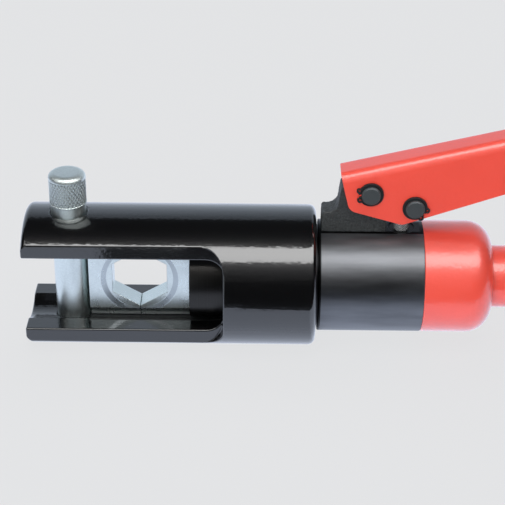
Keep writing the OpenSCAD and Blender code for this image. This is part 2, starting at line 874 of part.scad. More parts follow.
module lever_grip() {
    u1 = lever_len + lever_grip_cap;
    u0 = u1 - lever_grip_len;
    low = tail_w - lever_grip_wall;
    high = lever_rise + lever_grip_wall;
    step = (lever_grip_len - 2 * groove_inset) / (groove_count - 1);
    color(RUBBER) on_lever() difference() {
        intersection() {
            bar_x(lever_grip_section(0), u0, u1);
            plate_y(rounded([
                [u0, low, grip_round], [u1, low, lever_grip_end_r],
                [u1, high, lever_grip_end_r], [u0, high, grip_round]
            ]), -lever_w, lever_w);
        }
        translate([u0 - cut, -lever_w / 2 - seat_gap, tail_w - seat_gap])
            cube([lever_len + seat_gap + cut - u0, lever_w + 2 * seat_gap, tail_h + 2 * seat_gap]);
        for (i = [0:groove_count - 1]) translate([u0 + groove_inset + step * i, 0, 0]) difference() {
            bar_x(lever_grip_section(-cut), -groove_w / 2, groove_w / 2);
            bar_x(lever_grip_section(groove_depth), -groove_w, groove_w);
        }
    }
}

// Reservoir cap and handle

module reservoir_cap() {
    color(RED) difference() {
        turned_x(rounded([
            [0, pump_x1, 0], [pump_r, pump_x1, 0], [pump_r, cap_x1, cap_shoulder_r], [0, cap_x1, 0]
        ]));
        along_x(pump_x1 - cut, tail_x1 + cap_clear, tail_r + seat_gap);
        along_x(tail_x1, tube_x0, cap_space_r);
        along_x(tail_x1, cap_x1 + cut, handle_r + seat_gap);
    }
}

module cap_o_ring() {
    x0 = pump_x1 + ring_inset;
    color(RUBBER) ring_x(x0 + seat_gap, x0 + ring_w - seat_gap, tail_r - ring_depth + seat_gap, tail_r);
}

module oil_bladder() {
    out_r = neck_r + bladder_wall;
    in_r = bladder_r - bladder_wall;
    color(RUBBER) turned_x(concat(
        [[neck_r, neck_x0], [out_r, neck_x0], [out_r, neck_x1], [bladder_r, neck_x1 + neck_taper]],
        arc([0, bladder_x1 - bladder_r], bladder_r, 0, 90),
        arc([0, bladder_x1 - bladder_r], in_r, 90, 0),
        [[in_r, neck_x1 + neck_taper], [neck_r, neck_x1]]
    ));
}

module bladder_clamp() {
    x0 = neck_x0 + clamp_inset;
    in_r = neck_r + bladder_wall + seat_gap;
    color(STEEL) ring_x(x0, x0 + clamp_w, in_r, in_r + clamp_wall);
}

module handle_tube() {
    color(RED) ring_x(tube_x0 + seat_gap, tube_x1, tube_in_r, handle_r);
}

module handle_grip() {
    step = (grip_len - 2 * groove_inset) / (groove_count - 1);
    in_r = handle_r + seat_gap;
    color(RUBBER) difference() {
        turned_x(rounded([
            [in_r, grip_x0, 0], [grip_r + grip_flange, grip_x0, grip_round],
            [grip_r + grip_flange, grip_x0 + grip_flange_w, grip_round],
            [grip_r, grip_x0 + grip_flange_w, grip_round],
            [grip_r, grip_x1, grip_round], [in_r, grip_x1, 0]
        ]));
        for (i = [0:groove_count - 1]) {
            x = grip_x0 + groove_inset + step * i;
            ring_x(x - groove_w / 2, x + groove_w / 2, grip_r - groove_depth, grip_r + cut);
        }
    }
}

module handle_plug() {
    color(BLACK) difference() {
        union() {
            along_x(tube_x1 - plug_len, tube_x1, tube_in_r - seat_gap);
            along_x(tube_x1, tube_x1 + plug_lip, handle_r);
        }
        along_x(tube_x1 + plug_lip - vent_len, tube_x1 + plug_lip + cut, vent_r + seat_gap);
    }
}

module vent_screw() {
    top_x = tube_x1 + plug_lip + vent_head_h;
    color(STEEL) difference() {
        union() {
            along_x(tube_x1 + plug_lip - vent_len + seat_gap, tube_x1 + plug_lip, vent_r);
            along_x(tube_x1 + plug_lip, top_x, vent_head_r);
        }
        translate([top_x, 0, 0]) rotate([0, 90, 0])
            cylinder(h = vent_head_h, r = vent_r, center = true, $fn = 6);
    }
}

crimp_head();
guide_bush();
ram_wiper();
outer_die();
head_set_screw();
pump_cylinder();
return_rod();
return_spring();
fulcrum_bracket();
fulcrum_pin();
fulcrum_circlips();
plunger_gland();
plunger_seal();
discharge_ball();
discharge_spring();
discharge_screw();
suction_ball();
suction_spring();
suction_screw();
relief_ball();
relief_spring();
relief_screw();
reservoir_cap();
cap_o_ring();
oil_bladder();
bladder_clamp();
handle_tube();
handle_grip();
handle_plug();
vent_screw();
ram();
ram_seal();
inner_die();
spring_retainer();
locking_pin();
lever_channel();
lever_grip();
plunger_pin();
plunger_circlips();
plunger();
release_spindle();
release_knob();
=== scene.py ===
"""Hydraulic crimping tool: finishes, modelled pieces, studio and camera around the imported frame."""
import json
import math

import bmesh
import bpy
from mathutils import Matrix, Vector


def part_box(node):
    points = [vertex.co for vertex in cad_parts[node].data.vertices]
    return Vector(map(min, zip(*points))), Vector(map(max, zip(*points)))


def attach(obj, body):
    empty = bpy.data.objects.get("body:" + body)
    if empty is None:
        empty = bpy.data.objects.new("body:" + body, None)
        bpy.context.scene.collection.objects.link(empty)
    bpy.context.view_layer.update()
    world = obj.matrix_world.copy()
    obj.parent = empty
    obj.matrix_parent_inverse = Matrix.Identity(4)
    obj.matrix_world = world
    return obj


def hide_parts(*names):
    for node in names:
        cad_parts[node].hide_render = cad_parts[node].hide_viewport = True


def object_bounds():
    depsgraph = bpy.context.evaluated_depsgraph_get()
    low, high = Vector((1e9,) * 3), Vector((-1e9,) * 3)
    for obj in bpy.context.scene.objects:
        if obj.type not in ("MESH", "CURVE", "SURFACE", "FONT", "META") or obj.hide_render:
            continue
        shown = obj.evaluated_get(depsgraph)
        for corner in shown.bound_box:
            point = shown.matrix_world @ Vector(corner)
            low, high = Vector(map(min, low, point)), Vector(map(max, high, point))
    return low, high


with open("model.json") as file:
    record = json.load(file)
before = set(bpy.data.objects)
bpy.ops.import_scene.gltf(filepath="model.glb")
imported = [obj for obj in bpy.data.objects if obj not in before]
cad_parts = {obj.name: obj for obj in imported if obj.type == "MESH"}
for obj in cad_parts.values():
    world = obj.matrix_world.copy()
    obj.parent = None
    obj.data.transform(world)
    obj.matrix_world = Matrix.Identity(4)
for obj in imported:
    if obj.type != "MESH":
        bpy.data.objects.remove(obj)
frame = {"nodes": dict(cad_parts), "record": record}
cad_low, cad_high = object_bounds()
MM = 0.001

# Shader helpers


def add(tree, kind, settings=None, **inputs):
    """Adds a node, sets its properties, and fills or links its inputs by socket name."""
    made = tree.nodes.new(kind)
    for name, value in (settings or {}).items():
        setattr(made, name, value)
    for name, value in inputs.items():
        plug(tree, made.inputs[name.replace("_", " ")], value)
    return made


def plug(tree, socket, value):
    """Links a socket into an input, or sets the input to a plain value."""
    if isinstance(value, bpy.types.NodeSocket):
        tree.links.new(value, socket)
    else:
        socket.default_value = value


def plug_in_turn(tree, made, values):
    """Fills or links a node's inputs from the first on."""
    for socket, value in zip(made.inputs, values):
        plug(tree, socket, value)


def math_of(tree, operation, *values):
    made = add(tree, "ShaderNodeMath", {"operation": operation})
    plug_in_turn(tree, made, values)
    return made.outputs[0]


def vector_of(tree, operation, output, *values):
    made = add(tree, "ShaderNodeVectorMath", {"operation": operation})
    plug_in_turn(tree, made, values)
    return made.outputs[output]


def ranged(tree, value, low, high, to_low=0.0, to_high=1.0):
    """A value mapped from one range to another, held at the ends."""
    made = add(
        tree, "ShaderNodeMapRange", Value=value,
        From_Min=low, From_Max=high, To_Min=to_low, To_Max=to_high,
    )
    return made.outputs["Result"]


def spread(tree, mask, low, high):
    """A mask from 0 to 1 spread between two values."""
    return ranged(tree, mask, 0.0, 1.0, low, high)


def mixed(tree, mask, colour_a, colour_b):
    """Colour a where the mask is 0 and colour b where it is 1."""
    made = add(tree, "ShaderNodeMix", {"data_type": "RGBA"})
    # The colour sockets share their names with the node's other kinds, so they go by number
    factor, a, b = made.inputs[0], made.inputs[6], made.inputs[7]
    for socket, value in ((factor, mask), (a, colour_a), (b, colour_b)):
        plug(tree, socket, value)
    return made.outputs[2]


def blended(tree, mask, first, second):
    """One shader where the mask is 0 and another where it is 1."""
    made = add(tree, "ShaderNodeMixShader", Fac=mask)
    tree.links.new(first.outputs[0], made.inputs[1])
    tree.links.new(second.outputs[0], made.inputs[2])
    return made


def object_place(tree):
    """The place in the object's own space."""
    return add(tree, "ShaderNodeTexCoord").outputs["Object"]


def object_axes(tree):
    """The X, Y and Z of the place in the object's own space."""
    return add(tree, "ShaderNodeSeparateXYZ", Vector=object_place(tree)).outputs


def axis_distance(tree, arm, axis):
    """How far the end of an arm lies from an axis."""
    return vector_of(tree, "LENGTH", "Value", vector_of(tree, "CROSS_PRODUCT", "Vector", arm, axis))


def group(name, inputs, output):
    """An empty shader node group with named sockets, and its input and output nodes."""
    tree = bpy.data.node_groups.new(name, "ShaderNodeTree")
    for label, kind, default in inputs:
        socket = tree.interface.new_socket(label, in_out="INPUT", socket_type=kind)
        socket.default_value = default
    tree.interface.new_socket(output, in_out="OUTPUT", socket_type=FLOAT)
    return tree, tree.nodes.new("NodeGroupInput"), tree.nodes.new("NodeGroupOutput")


def place(tree, effect, **inputs):
    """Places a shared effect in a material and gives its mask."""
    return add(tree, "ShaderNodeGroup", {"node_tree": effect}, **inputs).outputs[0]


FLOAT = "NodeSocketFloat"
VECTOR = "NodeSocketVector"
NOISE_SPAN = (0.25, 0.75)

# Shared effects


def make_grain():
    """Grain in the object's own space, for cast, moulded, plated and painted skins.

    Shares below 1 in Squeeze draw the grain out along that axis."""
    tree, given, result = group(
        "grain",
        [("Scale", FLOAT, 400.0), ("Detail", FLOAT, 2.0), ("Softness", FLOAT, 0.5),
         ("Squeeze", VECTOR, (1, 1, 1))],
        "Grain",
    )
    at = vector_of(tree, "MULTIPLY", "Vector", object_place(tree), given.outputs["Squeeze"])
    field = add(
        tree, "ShaderNodeTexNoise", Vector=at, Scale=given.outputs["Scale"],
        Detail=given.outputs["Detail"], Roughness=given.outputs["Softness"],
    )
    plug(tree, result.inputs["Grain"], ranged(tree, field.outputs["Fac"], *NOISE_SPAN))
    return tree


def make_turned():
    """Marks of a lathe tool, round an axis on the sides and in rings on the ends."""
    tree, given, result = group(
        "turned marks",
        [("Centre", VECTOR, (0, 0, 0)), ("Axis", VECTOR, (1, 0, 0)), ("Lines", FLOAT, 2500.0),
         ("Wander", FLOAT, 25.0)],
        "Marks",
    )
    faint_below, full_above, faintest = 0.3, 0.7, 0.4
    at = object_place(tree)
    arm = vector_of(tree, "SUBTRACT", "Vector", at, given.outputs["Centre"])
    along = vector_of(tree, "DOT_PRODUCT", "Value", arm, given.outputs["Axis"])
    out = axis_distance(tree, arm, given.outputs["Axis"])
    lines = add(
        tree, "ShaderNodeTexNoise", {"noise_dimensions": "1D"}, W=math_of(tree, "ADD", along, out),
        Scale=given.outputs["Lines"], Detail=2.0,
    )
    fade = add(tree, "ShaderNodeTexNoise", Vector=at, Scale=given.outputs["Wander"], Detail=3.0)
    strength = ranged(tree, fade.outputs["Fac"], faint_below, full_above, faintest, 1.0)
    marks = math_of(tree, "MULTIPLY", ranged(tree, lines.outputs["Fac"], *NOISE_SPAN), strength)
    plug(tree, result.inputs["Marks"], marks)
    return tree


def make_wear():
    """Worn edges: where the rounded normal leaves the true one, broken up by grain."""
    tree, given, result = group("worn edges", [("Reach", FLOAT, 0.0006), ("Patches", FLOAT, 250.0)], "Wear")
    whole_turn, worn_turn = 0.99, 0.86
    whole_below, bare_above = 0.4, 0.62
    rounded = add(tree, "ShaderNodeBevel", {"samples": 4}, Radius=given.outputs["Reach"]).outputs["Normal"]
    true_normal = add(tree, "ShaderNodeNewGeometry").outputs["Normal"]
    turn = vector_of(tree, "DOT_PRODUCT", "Value", rounded, true_normal)
    edge = ranged(tree, turn, whole_turn, worn_turn)
    patches = add(
        tree, "ShaderNodeTexNoise", Vector=object_place(tree), Scale=given.outputs["Patches"], Detail=4.0,
    )
    broken = ranged(tree, patches.outputs["Fac"], whole_below, bare_above)
    plug(tree, result.inputs["Wear"], math_of(tree, "MULTIPLY", edge, broken))
    return tree


def make_band():
    """A round band about an axis, 1 between its inner and outer radius."""
    tree, given, result = group(
        "round band",
        [("Centre", VECTOR, (0, 0, 0)), ("Axis", VECTOR, (1, 0, 0)), ("Inner", FLOAT, 0.0),
         ("Outer", FLOAT, 0.01)],
        "Band",
    )
    arm = vector_of(tree, "SUBTRACT", "Vector", object_place(tree), given.outputs["Centre"])
    radius = axis_distance(tree, arm, given.outputs["Axis"])
    past_inner = math_of(tree, "GREATER_THAN", radius, given.outputs["Inner"])
    short_of_outer = math_of(tree, "LESS_THAN", radius, given.outputs["Outer"])
    plug(tree, result.inputs["Band"], math_of(tree, "MULTIPLY", past_inner, short_of_outer))
    return tree


GRAIN = make_grain()
TURNED = make_turned()
WEAR = make_wear()
BAND = make_band()

# Finishes


def finish(name, colour, roughness, metallic=0.0, ior=1.5, coat=0.0, coat_roughness=0.1, coat_ior=1.5):
    """A material with its Principled shader, whose plain sockets are set here."""
    material = bpy.data.materials.new(name)
    material.use_nodes = True
    tree = material.node_tree
    shader = tree.nodes["Principled BSDF"].inputs
    for label, value in (
        ("Base Color", (*colour, 1.0)), ("Roughness", roughness), ("Metallic", metallic), ("IOR", ior),
        ("Coat Weight", coat), ("Coat Roughness", coat_roughness), ("Coat IOR", coat_ior),
    ):
        shader[label].default_value = value
    return material, tree, shader


def bumped(tree, shader, height, depth, strength):
    bump = add(tree, "ShaderNodeBump", Height=height, Distance=depth, Strength=strength)
    plug(tree, shader["Normal"], bump.outputs["Normal"])


def shade(rgb, share):
    """A colour made darker or lighter, with its alpha."""
    return (*(min(1.0, c * share) for c in rgb), 1.0)


def make_head_paint(bore_r, dies_x):
    """Gloss black stoving paint with orange peel, a hazy under-gloss and thin edges.

    In the bore it is rubbed dull behind the place where the dies begin."""
    black, wear_and_shade = (0.0016, 0.0016, 0.002), (0.03, 0.03, 0.032, 1.0)
    glossy, hazy, rubbed_dull, under_gloss = 0.07, 0.13, 0.6, 0.5
    material, tree, shader = finish(
        "head_paint", black, glossy, ior=1.78, coat=under_gloss, coat_roughness=0.28,
    )
    bore = place(tree, BAND, Centre=tool_axis, Axis=ALONG_X, Outer=bore_r)
    rubbed = math_of(tree, "MULTIPLY", bore, math_of(tree, "GREATER_THAN", object_axes(tree)["X"], dies_x))
    peel = place(tree, GRAIN, Scale=520.0, Detail=1.5)
    haze = place(tree, GRAIN, Scale=45.0, Detail=5.0)
    wear = place(tree, WEAR, Reach=0.5 * MM, Patches=420.0)
    plug(tree, shader["Base Color"], mixed(tree, wear, (*black, 1.0), wear_and_shade))
    gloss = math_of(tree, "MAXIMUM", spread(tree, haze, glossy, hazy), spread(tree, rubbed, 0.0, rubbed_dull))
    plug(tree, shader["Roughness"], gloss)
    plug(tree, shader["Coat Weight"], spread(tree, rubbed, under_gloss, 0.0))
    bumped(tree, shader, peel, depth=0.05 * MM, strength=0.6)
    return material


def make_red_paint():
    """Semi-gloss red paint with orange peel, a little uneven in colour, thin on its edges."""
    red = (0.79, 0.052, 0.025)
    thin_share, dark_share, light_share = 0.62, 0.95, 1.03
    glossy, hazy = 0.09, 0.14
    material, tree, shader = finish("red_paint", red, glossy, coat=1.0, coat_roughness=0.42, coat_ior=1.75)
    peel = place(tree, GRAIN, Scale=640.0, Detail=2.0)
    cloud = place(tree, GRAIN, Scale=38.0, Detail=4.0)
    wear = place(tree, WEAR, Reach=0.4 * MM, Patches=520.0)
    coat = mixed(tree, cloud, shade(red, dark_share), shade(red, light_share))
    plug(tree, shader["Base Color"], mixed(tree, wear, coat, shade(red, thin_share)))
    plug(tree, shader["Roughness"], spread(tree, cloud, glossy, hazy))
    bumped(tree, shader, peel, depth=0.11 * MM, strength=0.7)
    return material


def make_zinc(name, centre, axis, roughness, shaded_ring=(0.0, 0.0), matte_above=1.0):
    """Bright zinc plate: fine crystals over faint turned lines, with painted shade on a bevel between two
    radii.

    Above a height it is matte, with painted shade in its hollows."""
    light, dark, wear_and_shade = (0.83, 0.9, 0.885, 1.0), (0.7, 0.765, 0.755, 1.0), (0.54, 0.59, 0.61, 1.0)
    hollow_shade_colour, flat_point, hollow_point = (0.26, 0.28, 0.29, 1.0), 0.5, 0.42
    smoother, rougher, matte_more = 0.04, 0.05, 0.14
    material, tree, shader = finish(name, light[:3], roughness, metallic=1.0)
    crystal = place(tree, GRAIN, Scale=1300.0, Detail=4.0, Softness=0.7)
    cloud = place(tree, GRAIN, Scale=160.0, Detail=3.0)
    lines = place(tree, TURNED, Centre=centre, Axis=axis, Lines=2600.0)
    # Painted shade: the bevel ring between the two radii is coloured darker
    bevel = place(tree, BAND, Centre=centre, Axis=axis, Inner=shaded_ring[0], Outer=shaded_ring[1])
    matte = ranged(tree, object_axes(tree)["Z"], matte_above, matte_above + MM)
    # Painted shade: above the head's top the knurl's hollows are coloured darker
    point = add(tree, "ShaderNodeNewGeometry").outputs["Pointiness"]
    painted_hollow_shade = math_of(tree, "MULTIPLY", ranged(tree, point, flat_point, hollow_point), matte)
    plate = mixed(tree, bevel, mixed(tree, crystal, light, dark), wear_and_shade)
    plug(tree, shader["Base Color"], mixed(tree, painted_hollow_shade, plate, hollow_shade_colour))
    gloss = spread(tree, cloud, roughness - smoother, roughness + rougher)
    plug(tree, shader["Roughness"], math_of(tree, "ADD", gloss, spread(tree, matte, 0.0, matte_more)))
    bumped(tree, shader, math_of(tree, "ADD", crystal, lines), depth=0.015 * MM, strength=0.35)
    return material


def make_turned_steel(name, colour, centre, axis, roughness, metallic=1.0):
    """Bare or blackened steel with lathe marks that streak its gloss."""
    dark_share, light_share, worn_share = 0.84, 1.18, 2.2
    smoother, rougher = 0.03, 0.04
    material, tree, shader = finish(name, colour, roughness, metallic)
    marks = place(tree, TURNED, Centre=centre, Axis=axis, Lines=1900.0)
    cloud = place(tree, GRAIN, Scale=70.0, Detail=5.0)
    wear = place(tree, WEAR, Reach=0.35 * MM, Patches=500.0)
    streaks = math_of(tree, "MULTIPLY", marks, cloud)
    streaked = mixed(tree, streaks, shade(colour, dark_share), shade(colour, light_share))
    plug(tree, shader["Base Color"], mixed(tree, wear, streaked, shade(colour, worn_share)))
    plug(tree, shader["Roughness"], spread(tree, marks, roughness - smoother, roughness + rougher))
    bumped(tree, shader, marks, depth=0.015 * MM, strength=0.3)
    return material


def make_pump_steel(seam_x, flat_z):
    """Blued steel of the pump body: soft blotches over faint lathe marks.

    It has painted shade: dark at the head's seam and on the flat round the plunger, under the lever."""
    blued = (0.146, 0.151, 0.161)
    dark_share, light_share, worn_share, painted_shade_share = 0.74, 1.26, 1.8, 0.1
    glossy, dull, mark_gloss = 0.38, 0.45, 0.01
    material, tree, shader = finish("pump_steel", blued, glossy, metallic=1.0)
    marks = place(tree, TURNED, Centre=tool_axis, Axis=ALONG_X, Lines=1900.0)
    blotch = place(tree, GRAIN, Scale=190.0, Detail=4.0, Squeeze=(0.18, 1.0, 1.0))
    wear = place(tree, WEAR, Reach=0.35 * MM, Patches=500.0)
    at = object_axes(tree)
    # Painted shade: the seam beside the head and the flat under the lever are coloured near black
    at_seam = math_of(tree, "LESS_THAN", at["X"], seam_x)
    painted_shade_mask = math_of(tree, "MAXIMUM", at_seam, math_of(tree, "GREATER_THAN", at["Z"], flat_z))
    blotched = mixed(tree, blotch, shade(blued, dark_share), shade(blued, light_share))
    worn = mixed(tree, wear, blotched, shade(blued, worn_share))
    plug(tree, shader["Base Color"], mixed(tree, painted_shade_mask, worn, shade(blued, painted_shade_share)))
    streaks = spread(tree, marks, -mark_gloss, mark_gloss)
    plug(tree, shader["Roughness"], math_of(tree, "ADD", spread(tree, blotch, glossy, dull), streaks))
    bumped(tree, shader, marks, depth=0.015 * MM, strength=0.06)
    return material


def make_cast_black():
    """Rough black casting with sand grain and rubbed high spots."""
    black = (0.014, 0.0155, 0.016)
    dark_share, light_share, worn_share = 0.5, 3.4, 6.0
    glossy, dull = 0.42, 0.66
    material, tree, shader = finish("cast_black", black, glossy, ior=1.55)
    sand = place(tree, GRAIN, Scale=1100.0, Detail=5.0, Softness=0.65)
    lumps = place(tree, GRAIN, Scale=260.0, Detail=3.0)
    wear = place(tree, WEAR, Reach=0.6 * MM, Patches=600.0)
    skin = mixed(tree, sand, shade(black, dark_share), shade(black, light_share))
    plug(tree, shader["Base Color"], mixed(tree, wear, skin, shade(black, worn_share)))
    plug(tree, shader["Roughness"], spread(tree, lumps, glossy, dull))
    bumped(tree, shader, math_of(tree, "ADD", sand, lumps), depth=0.2 * MM, strength=0.9)
    return material


def make_black_oxide(name, black, roughness):
    """Blackened hardened steel, fine and slightly oily."""
    worn_share, oil_gloss = 2.6, 0.07
    material, tree, shader = finish(name, black, roughness, metallic=0.6)
    fine = place(tree, GRAIN, Scale=1500.0, Detail=3.0)
    oil = place(tree, GRAIN, Scale=180.0, Detail=3.0)
    wear = place(tree, WEAR, Reach=0.3 * MM, Patches=900.0)
    plug(tree, shader["Base Color"], mixed(tree, wear, (*black, 1.0), shade(black, worn_share)))
    plug(tree, shader["Roughness"], spread(tree, oil, roughness - oil_gloss, roughness + oil_gloss))
    bumped(tree, shader, fine, depth=0.02 * MM, strength=0.5)
    return material


def make_grip_rubber():
    """Matte moulded rubber with a fine leathery stipple and paler rubbed ridges."""
    black = (0.016, 0.016, 0.017)
    dusty_share, worn_share = 1.7, 3.0
    smooth, dull = 0.55, 0.72
    material, tree, shader = finish("grip_rubber", black, smooth)
    stipple = place(tree, GRAIN, Scale=1300.0, Detail=2.0)
    dust = place(tree, GRAIN, Scale=55.0, Detail=5.0)
    wear = place(tree, WEAR, Reach=0.8 * MM, Patches=300.0)
    body = mixed(tree, dust, (*black, 1.0), shade(black, dusty_share))
    plug(tree, shader["Base Color"], mixed(tree, wear, body, shade(black, worn_share)))
    plug(tree, shader["Roughness"], spread(tree, dust, smooth, dull))
    bumped(tree, shader, stipple, depth=0.06 * MM, strength=0.7)
    return material


def make_plain_skin(name, colour, roughness, metallic=0.0):
    """Seals, bushes and plastic caps: one colour broken by grain in tone, gloss and relief."""
    dark_share, light_share, gloss_change = 0.88, 1.12, 0.06
    material, tree, shader = finish(name, colour, roughness, metallic)
    fine = place(tree, GRAIN, Scale=1000.0, Detail=3.0)
    cloud = place(tree, GRAIN, Scale=110.0, Detail=4.0)
    tone = mixed(tree, cloud, shade(colour, dark_share), shade(colour, light_share))
    plug(tree, shader["Base Color"], tone)
    plug(tree, shader["Roughness"], spread(tree, cloud, roughness - gloss_change, roughness + gloss_change))
    bumped(tree, shader, fine, depth=0.03 * MM, strength=0.45)
    return material


def middle(node):
    low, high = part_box(node)
    return (low + high) / 2


ALONG_X, ALONG_Y, ALONG_Z = (1, 0, 0), (0, 1, 0), (0, 0, 1)
BORE_CLEAR = 0.9 * MM
SEAM_WIDTH = 2.05 * MM
FLAT_BELOW_GLAND = 0.05 * MM
tool_axis = (0.0, 0.0, 0.0)
pin_middle = middle("locking_pin")
release_middle = middle("release_knob")
dies_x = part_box("outer_die")[0].x
bore_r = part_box("outer_die")[1].z + BORE_CLEAR
die_bevel = (15.5 * MM, 17.9 * MM)
head_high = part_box("crimp_head")[1]
# End of the painted shade on the pump beside the head's seam
seam_x = head_high.x + SEAM_WIDTH
flat_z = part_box("plunger_gland")[1].z - FLAT_BELOW_GLAND
bare_steel = (0.55, 0.56, 0.58)
polished_steel = (0.68, 0.69, 0.7)

HEAD_PAINT = make_head_paint(bore_r, dies_x)
RED_PAINT = make_red_paint()
CAST_BLACK = make_cast_black()
BLACK_OXIDE = make_black_oxide("black_oxide", (0.03, 0.033, 0.036), roughness=0.42)
PIVOT_STEEL = make_black_oxide("pivot_steel", (0.075, 0.085, 0.09), roughness=0.55)
GRIP_RUBBER = make_grip_rubber()
PIN_ZINC = make_zinc("pin_zinc", pin_middle, ALONG_Z, roughness=0.32, matte_above=head_high.z)
DIE_ZINC = make_zinc("die_zinc", tool_axis, ALONG_Y, roughness=0.28, shaded_ring=die_bevel)
PUMP_STEEL = make_pump_steel(seam_x, flat_z)
RAM_BLACK = make_turned_steel("ram_black", (0.05, 0.048, 0.046), tool_axis, ALONG_X, roughness=0.33)
BRIGHT_STEEL = make_turned_steel(
    "bright_steel", polished_steel, middle("plunger"), ALONG_Z, roughness=0.26, metallic=0.75,
)
SCREW_STEEL = make_turned_steel("screw_steel", bare_steel, tool_axis, ALONG_X, roughness=0.28)
SPINDLE_STEEL = make_turned_steel("spindle_steel", bare_steel, release_middle, ALONG_Y, roughness=0.26)
BRONZE = make_plain_skin("bronze", (0.55, 0.36, 0.15), roughness=0.35, metallic=1.0)
SEAL_RUBBER = make_plain_skin("seal_rubber", (0.02, 0.02, 0.021), roughness=0.5)
BLACK_PLASTIC = make_plain_skin("black_plastic", (0.02, 0.02, 0.022), roughness=0.42)

FINISH_OF_SLOT = {
    "head_paint": HEAD_PAINT, "zinc_plate": DIE_ZINC, "ram_black": RAM_BLACK, "pump_steel": PUMP_STEEL,
    "cast_black": CAST_BLACK, "black_oxide": BLACK_OXIDE, "bright_steel": SCREW_STEEL, "red_paint": RED_PAINT,
    "bronze": BRONZE, "seal_rubber": SEAL_RUBBER, "grip_rubber": GRIP_RUBBER, "black_plastic": BLACK_PLASTIC,
}
FINISH_OF_NODE = {
    "locking_pin": PIN_ZINC, "plunger": BRIGHT_STEEL, "release_spindle": SPINDLE_STEEL,
    "fulcrum_pin": PIVOT_STEEL, "plunger_pin": PIVOT_STEEL,
}
SLOT_OF_NODE = {part["node"]: part["material_slot"] for part in frame["record"]["subparts"]}
BODY_OF_NODE = {
    node: body for body, nodes in frame["record"]["behaviour"]["bodies"].items() for node in nodes
}


def finish_of(node):
    return FINISH_OF_NODE.get(node, FINISH_OF_SLOT[SLOT_OF_NODE[node]])


def coat_with(piece, node):
    """Gives a piece the finish of a node and nothing else."""
    piece.data.materials.clear()
    piece.data.materials.append(finish_of(node))


for node, cad in frame["nodes"].items():
    coat_with(cad, node)

# Pieces

SMOOTH_ANGLE = math.radians(16)
FLAT_ANGLE = math.radians(0.4)
TURNED_ANGLE = math.radians(50)
WELD = 0.002 * MM
ROOM_SHARE = 1.2


def stand_for(piece, node):
    """Puts a piece in a node's place, on its body and in its material slot."""
    coat_with(piece, node)
    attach(piece, BODY_OF_NODE[node])
    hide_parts(node)
    return piece


def new_object(name, data):
    made = bpy.data.objects.new(name, data)
    bpy.context.scene.collection.objects.link(made)
    return made


def mesh_of(work, name):
    """A mesh from worked faces, which are let go."""
    mesh = bpy.data.meshes.new(name)
    work.to_mesh(mesh)
    work.free()
    return mesh


def joined_surface(node):
    """A node's own surface with its triangles joined into flat faces."""
    work = bmesh.new()
    work.from_mesh(frame["nodes"][node].data)
    bmesh.ops.remove_doubles(work, verts=work.verts, dist=WELD)
    bmesh.ops.dissolve_limit(work, angle_limit=FLAT_ANGLE, verts=work.verts, edges=work.edges)
    return work


def has_room(edge, width):
    """Whether both faces at a sharp edge reach far enough from it to take a rounding."""
    if len(edge.link_faces) != 2 or edge.calc_face_angle(0.0) < SMOOTH_ANGLE:
        return False
    return all(face.calc_area() > ROOM_SHARE * width * edge.calc_length() for face in edge.link_faces)


def ease_edges(node, width):
    """Replaces a node by the same shape with its sharp edges rounded."""
    work = joined_surface(node)
    weight = work.edges.layers.float.new("bevel_weight_edge")
    for edge in work.edges:
        edge[weight] = 1.0 if has_room(edge, width) else 0.0
    mesh = mesh_of(work, node + "_eased")
    mesh.shade_smooth()
    mesh.set_sharp_from_angle(angle=SMOOTH_ANGLE)
    piece = new_object(node + "_eased", mesh)
    bevel = piece.modifiers.new("eased edges", "BEVEL")
    bevel.width = width
    bevel.segments = 3
    bevel.limit_method = "WEIGHT"
    bevel.use_clamp_overlap = False
    flats = piece.modifiers.new("true flats", "WEIGHTED_NORMAL")
    flats.keep_sharp = True
    return stand_for(piece, node)


EASED_MM = {
    "crimp_head": 0.7, "outer_die": 0.2, "inner_die": 0.2, "ram": 0.3, "pump_cylinder": 0.3,
    "lever_channel": 0.3, "reservoir_cap": 0.35, "fulcrum_pin": 0.15, "plunger_pin": 0.15,
    "fulcrum_circlips": 0.12, "plunger_circlips": 0.12, "plunger_gland": 0.15, "plunger": 0.2,
    "release_knob": 0.3, "handle_plug": 0.5, "vent_screw": 0.3, "handle_tube": 0.3, "head_set_screw": 0.2,
    "handle_grip": 0.4, "lever_grip": 0.4,
}
for node, width in EASED_MM.items():
    ease_edges(node, width * MM)


def spin_up(name, rings, around, centre, relief):
    """A closed turned piece on an upright axis, from (radius, height) rings, bottom first.

    relief gives the depth that is cut away at an angle and a height."""
    work = bmesh.new()
    angles = [2 * math.pi * step / around for step in range(around)]
    loops = []
    for radius, height in rings:
        loop = []
        for angle in angles:
            r = radius - relief(angle, height)
            x, y = centre.x + r * math.cos(angle), centre.y + r * math.sin(angle)
            loop.append(work.verts.new((x, y, height)))
        loops.append(loop)
    for lower, upper in zip(loops, loops[1:]):
        for i in range(around):
            j = (i + 1) % around
            work.faces.new((lower[i], lower[j], upper[j], upper[i]))
    work.faces.new(reversed(loops[0]))
    work.faces.new(loops[-1])
    mesh = mesh_of(work, name)
    mesh.shade_smooth()
    mesh.set_sharp_from_angle(angle=TURNED_ANGLE)
    return new_object(name, mesh)


def quarter_round(r_out, z_low, reach_r, reach_z, steps=8):
    """Rings of a rounded shoulder that leaves a wall and ends on a flat top."""
    angles = [math.pi / 2 * i / steps for i in range(steps + 1)]
    return [(r_out - reach_r * (1 - math.cos(a)), z_low + reach_z * math.sin(a)) for a in angles]


